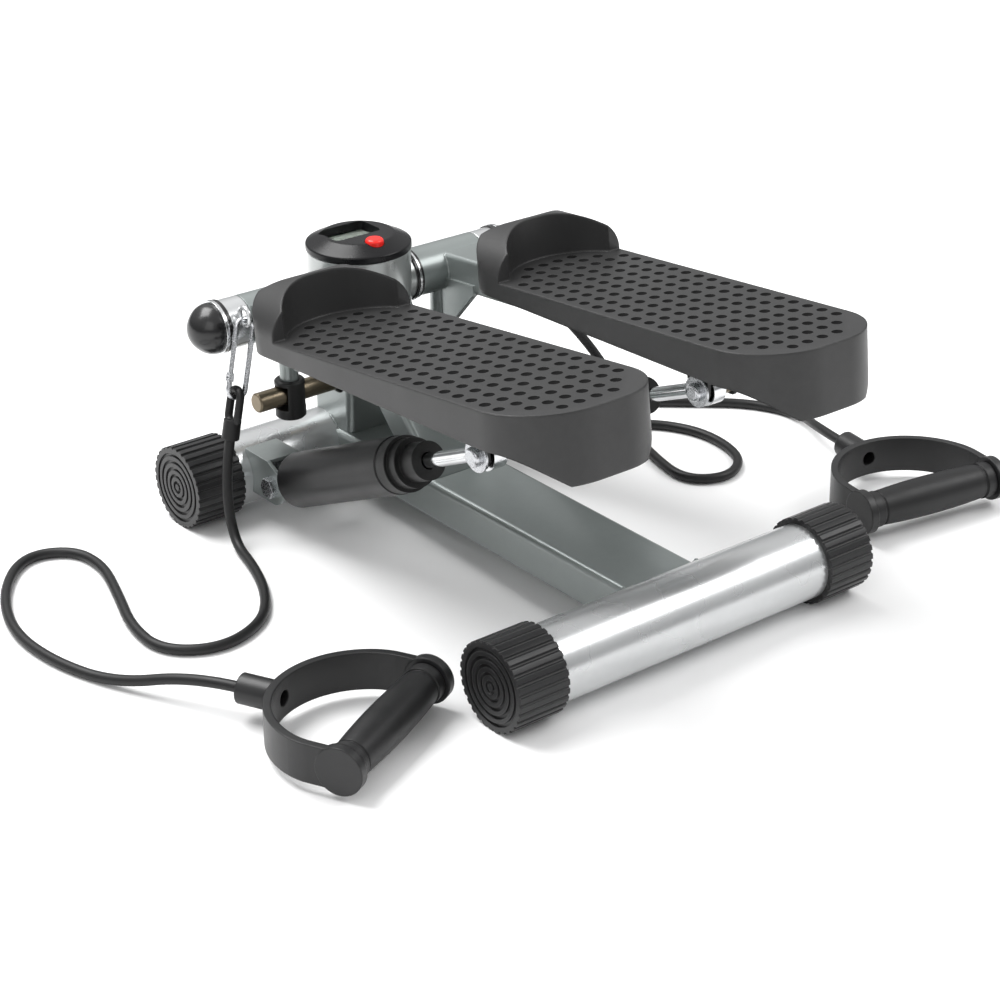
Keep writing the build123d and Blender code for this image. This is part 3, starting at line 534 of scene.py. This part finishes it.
def dimpled_pedal(side):
    """Puts a copy of a CAD pedal, with the dimples cut into its tread, in its place."""
    pedal = linked(f"{side}_tread_pedal", nodes[f"{side}_pedal"].data.copy())
    welder = bmesh.new()
    welder.from_mesh(pedal.data)
    bmesh.ops.remove_doubles(welder, verts=welder.verts, dist=MERGE_DISTANCE)
    welder.to_mesh(pedal.data)
    welder.free()
    cutters = dimple_cutters(side)
    cut = pedal.modifiers.new("dimples", "BOOLEAN")
    cut.operation = "DIFFERENCE"
    cut.solver = "EXACT"
    cut.object = cutters
    # The cut faces take the cutters' darker black, so the painted shade lies inside each dimple.
    cut.material_mode = "TRANSFER"
    bpy.context.view_layer.update()
    evaluated = pedal.evaluated_get(bpy.context.evaluated_depsgraph_get())
    mesh = bpy.data.meshes.new_from_object(evaluated)
    pedal.modifiers.clear()
    pedal.data = mesh
    bpy.data.objects.remove(cutters)
    if "custom_normal" in mesh.attributes:
        mesh.attributes.remove(mesh.attributes["custom_normal"])
    smooth(mesh)
    mesh.set_sharp_from_angle(angle=SHARP_ANGLE)
    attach(pedal, f"{side}_arm")
    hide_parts(f"{side}_pedal")


for side in SIDES:
    dimpled_pedal(side)

# ------------------------------------------------------------- weld beads

BEAD_RADIUS = 0.0011
BEAD_CORNERS = 10
BEAD_END_TAPER = 0.45
BEAD_LUMPS = 0.22
LUMP_SPACING = 2.1

SLEEVE_RADIUS = 0.0175
ARM_HALF_WIDTH = 0.025
ARM_SEAM_HALF_HEIGHT = 0.0118
ARM_SEAM_POINTS = 14

TUBE_Y = 0.173
TUBE_Z = 0.0285
POST_HALF_WIDTH = 0.027
BEAM_HALF_WIDTH = 0.030


def weld_bead(name, points, body):
    """A slightly lumpy bead of weld laid along a seam, half buried in the metal."""
    last = len(points) - 1

    def build(builder):
        rings = []
        for index, point in enumerate(points):
            along = (points[min(index + 1, last)] - points[max(index - 1, 0)]).normalized()
            side_axis = along.orthogonal().normalized()
            up_axis = along.cross(side_axis)
            taper = BEAD_END_TAPER if index in (0, last) else 1.0
            radius = BEAD_RADIUS * taper * (1 + BEAD_LUMPS * math.sin(index * LUMP_SPACING))
            ring = []
            for angle in ring_angles(BEAD_CORNERS):
                offset = side_axis * math.cos(angle) + up_axis * math.sin(angle)
                ring.append(builder.verts.new(point + offset * radius))
            rings.append(ring)
        for first, second in zip(rings, rings[1:]):
            for corner in range(BEAD_CORNERS):
                after = (corner + 1) % BEAD_CORNERS
                builder.faces.new((first[corner], first[after], second[after], second[corner]))
        builder.faces.new(list(reversed(rings[0])))
        builder.faces.new(rings[-1])
        bmesh.ops.recalc_face_normals(builder, faces=builder.faces)

    bead = new_object(name, build)
    bead.data.materials.append(MATERIALS["grey_frame"])
    smooth(bead.data)
    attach(bead, body)


def sleeve_seam(side):
    """Points where the inner face of a pedal arm meets the back of its sleeve, from top to bottom."""
    place = arm_matrix(side)
    inner_face = math.copysign(ARM_HALF_WIDTH, -ARM_X[side])
    points = []
    for index in range(ARM_SEAM_POINTS):
        up = ARM_SEAM_HALF_HEIGHT - 2 * ARM_SEAM_HALF_HEIGHT * index / (ARM_SEAM_POINTS - 1)
        points.append(place @ Vector((inner_face, -math.sqrt(SLEEVE_RADIUS**2 - up**2), up)))
    return points


def tube_seam(x, tube_y, radius, first_angle, last_angle, count):
    """Points round a base tube towards the machine's middle, with angles in degrees from the top."""
    toward_middle = -math.copysign(radius, tube_y)
    points = []
    for index in range(count):
        angle = math.radians(first_angle + (last_angle - first_angle) * index / (count - 1))
        points.append(
            Vector((x, tube_y + toward_middle * math.sin(angle), TUBE_Z + radius * math.cos(angle)))
        )
    return points


for side in SIDES:
    weld_bead(f"{side}_arm_weld", sleeve_seam(side), f"{side}_arm")
for side, x in (("left", -POST_HALF_WIDTH), ("right", POST_HALF_WIDTH)):
    seam = tube_seam(x, TUBE_Y, radius=0.0255, first_angle=20, last_angle=90, count=18)
    weld_bead(f"post_weld_{side}", seam, "base")
for side, x in (("left", -BEAM_HALF_WIDTH), ("right", BEAM_HALF_WIDTH)):
    seam = tube_seam(x, -TUBE_Y, radius=0.0253, first_angle=40, last_angle=90, count=12)
    weld_bead(f"beam_weld_{side}", seam, "base")

# -------------------------------------------------------- floor and lights

FLOOR_HALF_SIZE = 6
# The floor lies this far under the object, so that the two never share a plane.
FLOOR_DROP = 0.0002
LIGHT_AIM = Vector((0, 0, 0.1))
HORIZON_COLOUR = (0.32, 0.325, 0.33, 1)


def studio_floor():
    def build(builder):
        bmesh.ops.create_grid(builder, x_segments=1, y_segments=1, size=FLOOR_HALF_SIZE)

    floor = new_object("floor", build)
    floor.location.z = min(0.0, cad_box[0][2]) - FLOOR_DROP
    surface = Surface("floor", (0.93, 0.93, 0.93), 0.55)
    surface.vary_colour(surface.noise(3, detail=2), low=0.995, high=1.0)
    surface.bump(surface.noise(40, detail=2), strength=0.01, distance=0.0005)
    floor.data.materials.append(surface.material)


def studio_sky():
    """A sky that is grey near the horizon and white overhead, so that metal has something to reflect."""
    scene.world = bpy.data.worlds.new("studio")
    scene.world.use_nodes = True
    sky = scene.world.node_tree
    heading = sky.nodes.new("ShaderNodeTexCoord")
    split = sky.nodes.new("ShaderNodeSeparateXYZ")
    bands = sky.nodes.new("ShaderNodeValToRGB")
    low, high = bands.color_ramp.elements
    low.position, low.color = 0.12, HORIZON_COLOUR
    high.position, high.color = 0.62, (1, 1, 1, 1)
    background = sky.nodes["Background"]
    sky.links.new(heading.outputs["Generated"], split.inputs["Vector"])
    sky.links.new(split.outputs["Z"], bands.inputs["Fac"])
    sky.links.new(bands.outputs["Color"], background.inputs["Color"])
    background.inputs["Strength"].default_value = 0.85


def area_light(name, place, size, power):
    """A soft rectangular light aimed at the object."""
    light = bpy.data.lights.new(name, "AREA")
    light.shape = "RECTANGLE"
    light.size, light.size_y = size
    light.energy = power
    lamp = linked(name, light)
    lamp.location = place
    lamp.rotation_euler = (LIGHT_AIM - Vector(place)).to_track_quat("-Z", "Y").to_euler()


studio_floor()
studio_sky()
area_light("key", place=(-0.5, 0.9, 1.9), size=(1.6, 1.2), power=54)
area_light("fill", place=(-1.8, -1.2, 1.3), size=(1.4, 1.4), power=8)
area_light("side", place=(1.5, -1.05, 1.85), size=(1.3, 0.9), power=19)
scene.view_settings.view_transform = "Standard"
scene.view_settings.look = "None"

# ------------------------------------------------------------ final update

bpy.context.view_layer.update()
